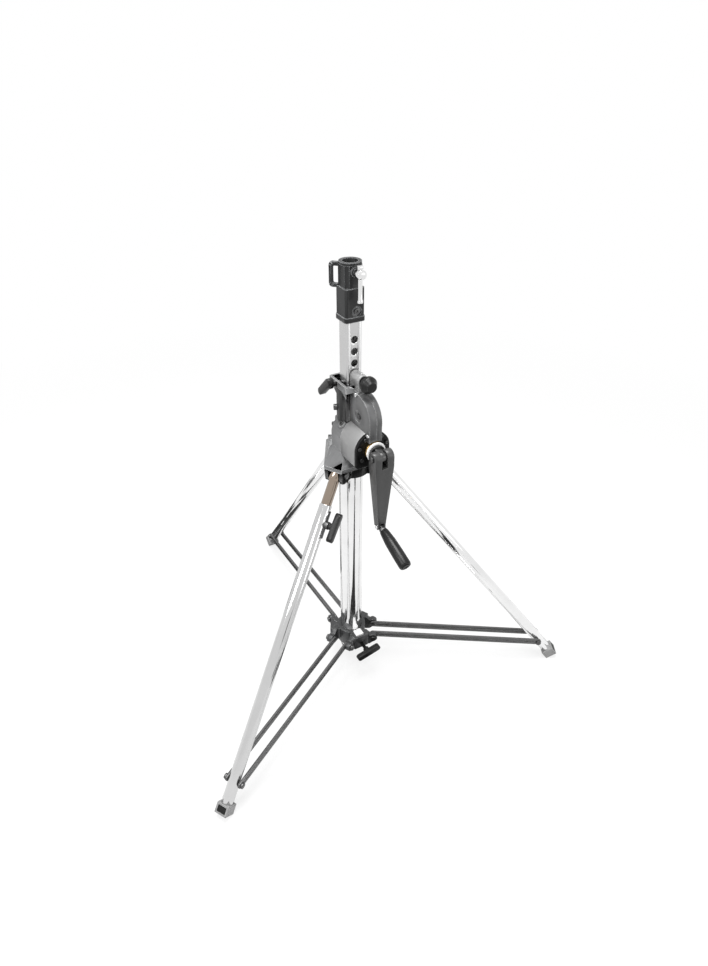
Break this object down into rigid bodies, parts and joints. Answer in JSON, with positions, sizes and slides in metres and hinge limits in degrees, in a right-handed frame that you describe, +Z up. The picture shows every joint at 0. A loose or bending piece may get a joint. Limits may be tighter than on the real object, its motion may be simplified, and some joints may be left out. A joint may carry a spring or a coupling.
{
  "type": "wind-up stand",
  "caption": "Folding tripod stand with a crank-raised square riser, spigot socket, load brake, latch, T-knob locks and a levelling leg.",
  "frame": {"origin": "middle of the bounding box on the floor, under the stand", "axes": "+Z up along the column; +X from the column towards the crank and the row of riser holes; the column's axis is at X = 0.1233 m, Y = 0"},
  "size_m": [0.7916, 0.914, 0.97],
  "materials": {
    "chrome_tube": "bright chrome plate",
    "riser_steel": "satin nickel plate",
    "black_casting": "cast, dark grey-black powder coat",
    "crank_black": "semi-gloss black enamel",
    "silver_casting": "cast, silver-grey lacquer",
    "cover_black": "satin black coat",
    "black_plastic": "fine satin moulding",
    "brass": "turned",
    "white_nylon": "smooth nylon",
    "black_nylon": "smooth nylon",
    "dark_steel": "blackened steel",
    "bright_steel": "zinc plate",
    "brace_paint": "satin dark grey enamel",
    "foot_grey": "grey moulding",
    "lining": "brake lining"
  },
  "bodies": {
    "root": {"main_tube": "chrome_tube", "tube_plug": "black_plastic", "head_casting": "black_casting", "tube_screws": "bright_steel", "riser_guides": "black_nylon", "gear_case_left": "black_casting", "gear_case_right": "black_casting", "case_screws": "bright_steel", "axle_bushes": "brass", "worm_barrel": "silver_casting", "barrel_cover": "cover_black", "cover_screws": "bright_steel", "brass_collar": "brass", "rear_bearing": "brass", "brake_lining": "lining", "latch_housing": "silver_casting", "latch_spring": "bright_steel", "hinge_bolts": "dark_steel"},
    "wheel": {"wheel_axle": "bright_steel", "drive_wheel": "dark_steel"},
    "crank": {"worm_shaft": "bright_steel", "brake_disc": "bright_steel", "crank_washer": "white_nylon", "crank_hub": "dark_steel", "crank_pin": "dark_steel"},
    "arm": {"crank_arm": "crank_black", "grip_pin": "bright_steel"},
    "grip_swivel": {"grip_fork": "bright_steel"},
    "grip": {"crank_grip": "black_plastic"},
    "riser": {"riser": "riser_steel", "top_casting": "black_casting", "safety_loop": "black_casting", "casting_screw": "dark_steel"},
    "tommy_pad": {"tommy_pad": "brass"},
    "tommy_screw": {"tommy_screw": "bright_steel"},
    "tommy_bar": {"tommy_bar": "bright_steel"},
    "latch": {"latch_plunger": "bright_steel", "latch_knob": "black_plastic"},
    "lock_pad": {"lock_pad": "brass"},
    "lock_knob": {"lock_knob": "black_plastic"},
    "leg_1": {"leg_1_upper": "chrome_tube"},
    "level": {"leg_1_lower": "chrome_tube", "foot_1": "foot_grey", "level_clamp": "dark_steel"},
    "level_pad": {"level_pad": "brass"},
    "level_knob": {"level_knob": "black_plastic"},
    "leg_2": {"leg_2": "chrome_tube", "foot_2": "foot_grey"},
    "leg_3": {"leg_3": "chrome_tube", "foot_3": "foot_grey"},
    "brace_1": {"brace_1": "brace_paint", "brace_bolts_1": "dark_steel"},
    "brace_2": {"brace_2": "brace_paint", "brace_bolts_2": "dark_steel"},
    "brace_3": {"brace_3": "brace_paint", "brace_bolts_3": "dark_steel"},
    "spider": {"spider": "black_casting", "spider_bolts": "dark_steel"},
    "spider_pad": {"spider_pad": "white_nylon"},
    "spider_knob": {"spider_knob": "black_plastic"}
  },
  "joints": [
    {"name": "crank_turn", "type": "hinge", "parent": "root", "child": "crank", "pos_m": [0.22328, 0, 0.639], "axis": [-1, 0, 0], "range_deg": [0, 7200]},
    {"name": "riser_slide", "type": "slide", "parent": "root", "child": "riser", "axis": [0, 0, 1], "range_m": [0, 0.457]},
    {"name": "wheel_turn", "type": "hinge", "parent": "root", "child": "wheel", "pos_m": [0.17531, 0, 0.6952], "axis": [0, 1, 0], "range_deg": [0, 720]},
    {"name": "arm_fold", "type": "hinge", "parent": "crank", "child": "arm", "pos_m": [0.24127, 0, 0.639], "axis": [0, -1, 0], "range_deg": [0, 90]},
    {"name": "grip_fold", "type": "hinge", "parent": "arm", "child": "grip_swivel", "pos_m": [0.24377, 0, 0.48], "axis": [0, -1, 0], "range_deg": [-70, 20]},
    {"name": "grip_spin", "type": "hinge", "parent": "grip_swivel", "child": "grip", "pos_m": [0.29076, 0, 0.4629], "axis": [0.9397, 0, -0.342], "continuous": true},
    {"name": "tommy_pad_slide", "type": "slide", "parent": "riser", "child": "tommy_pad", "axis": [1, 0, 0], "range_m": [-0.005, 0]},
    {"name": "tommy_turn", "type": "hinge", "parent": "tommy_pad", "child": "tommy_screw", "pos_m": [0.15327, 0, 0.955], "axis": [1, 0, 0], "range_deg": [-1200, 0]},
    {"name": "tommy_bar_slide", "type": "slide", "parent": "tommy_screw", "child": "tommy_bar", "axis": [0, 0, 1], "range_m": [0, 0.0354]},
    {"name": "latch_push", "type": "slide", "parent": "root", "child": "latch", "axis": [-1, 0, 0], "range_m": [0, 0.01], "stiffness_N_per_m": 300, "springref_m": -0.01},
    {"name": "lock_pad_slide", "type": "slide", "parent": "root", "child": "lock_pad", "axis": [0, -1, 0], "range_m": [0, 0.0025]},
    {"name": "lock_turn", "type": "hinge", "parent": "lock_pad", "child": "lock_knob", "pos_m": [0.12327, -0.045, 0.7455], "axis": [0, -1, 0], "range_deg": [0, 720]},
    {"name": "spider_slide", "type": "slide", "parent": "root", "child": "spider", "axis": [0, 0, 1], "range_m": [0, 0.2398]},
    {"name": "spider_pad_slide", "type": "slide", "parent": "spider", "child": "spider_pad", "axis": [1, 0, 0], "range_m": [0, 0.0025]},
    {"name": "spider_turn", "type": "hinge", "parent": "spider_pad", "child": "spider_knob", "pos_m": [0.19328, 0, 0.08], "axis": [1, 0, 0], "range_deg": [0, 720]},
    {"name": "leg_1_fold", "type": "hinge", "parent": "root", "child": "leg_1", "pos_m": [0.15027, -0.04677, 0.56731], "axis": [0.866, 0.5, 0], "range_deg": [0, 38.2]},
    {"name": "leg_2_fold", "type": "hinge", "parent": "root", "child": "leg_2", "pos_m": [0.15027, 0.04677, 0.56731], "axis": [-0.866, 0.5, 0], "range_deg": [0, 38.2]},
    {"name": "leg_3_fold", "type": "hinge", "parent": "root", "child": "leg_3", "pos_m": [0.06928, 0, 0.56731], "axis": [0, -1, 0], "range_deg": [0, 38.2]},
    {"name": "level_slide", "type": "slide", "parent": "leg_1", "child": "level", "axis": [0.309, -0.5352, -0.7861], "range_m": [-0.03, 0.09]},
    {"name": "level_pad_slide", "type": "slide", "parent": "level", "child": "level_pad", "axis": [0.866, 0.5, 0], "range_m": [0, 0.0025]},
    {"name": "level_turn", "type": "hinge", "parent": "level_pad", "child": "level_knob", "pos_m": [0.20859, -0.08777, 0.48505], "axis": [0.866, 0.5, 0], "range_deg": [0, 720]},
    {"name": "brace_1_fold", "type": "hinge", "parent": "spider", "child": "brace_1", "pos_m": [0.14943, -0.04529, 0.084], "axis": [0.866, 0.5, 0], "range_deg": [0, 86.6]},
    {"name": "brace_2_fold", "type": "hinge", "parent": "spider", "child": "brace_2", "pos_m": [0.14943, 0.04529, 0.084], "axis": [-0.866, 0.5, 0], "range_deg": [0, 86.6]},
    {"name": "brace_3_fold", "type": "hinge", "parent": "spider", "child": "brace_3", "pos_m": [0.07097, 0, 0.084], "axis": [0, -1, 0], "range_deg": [0, 86.6]}
  ],
  "couplings": [
    {"joint": "riser_slide", "follows": "crank_turn", "m_per_rad": 0.0036287},
    {"joint": "wheel_turn", "follows": "crank_turn", "ratio": 0.1},
    {"joint": "tommy_pad_slide", "follows": "tommy_turn", "m_per_rad": 0.00023873},
    {"joint": "lock_pad_slide", "follows": "lock_turn", "m_per_rad": 0.00019894},
    {"joint": "spider_pad_slide", "follows": "spider_turn", "m_per_rad": 0.00019894},
    {"joint": "level_pad_slide", "follows": "level_turn", "m_per_rad": 0.00019894},
    {"joint": "leg_1_fold", "follows": "spider_slide", "rad_per_m": 2.7783},
    {"joint": "brace_1_fold", "follows": "spider_slide", "rad_per_m": 6.2957},
    {"joint": "leg_2_fold", "follows": "spider_slide", "rad_per_m": 2.7783},
    {"joint": "brace_2_fold", "follows": "spider_slide", "rad_per_m": 6.2957},
    {"joint": "leg_3_fold", "follows": "spider_slide", "rad_per_m": 2.7783},
    {"joint": "brace_3_fold", "follows": "spider_slide", "rad_per_m": 6.2957}
  ]
}
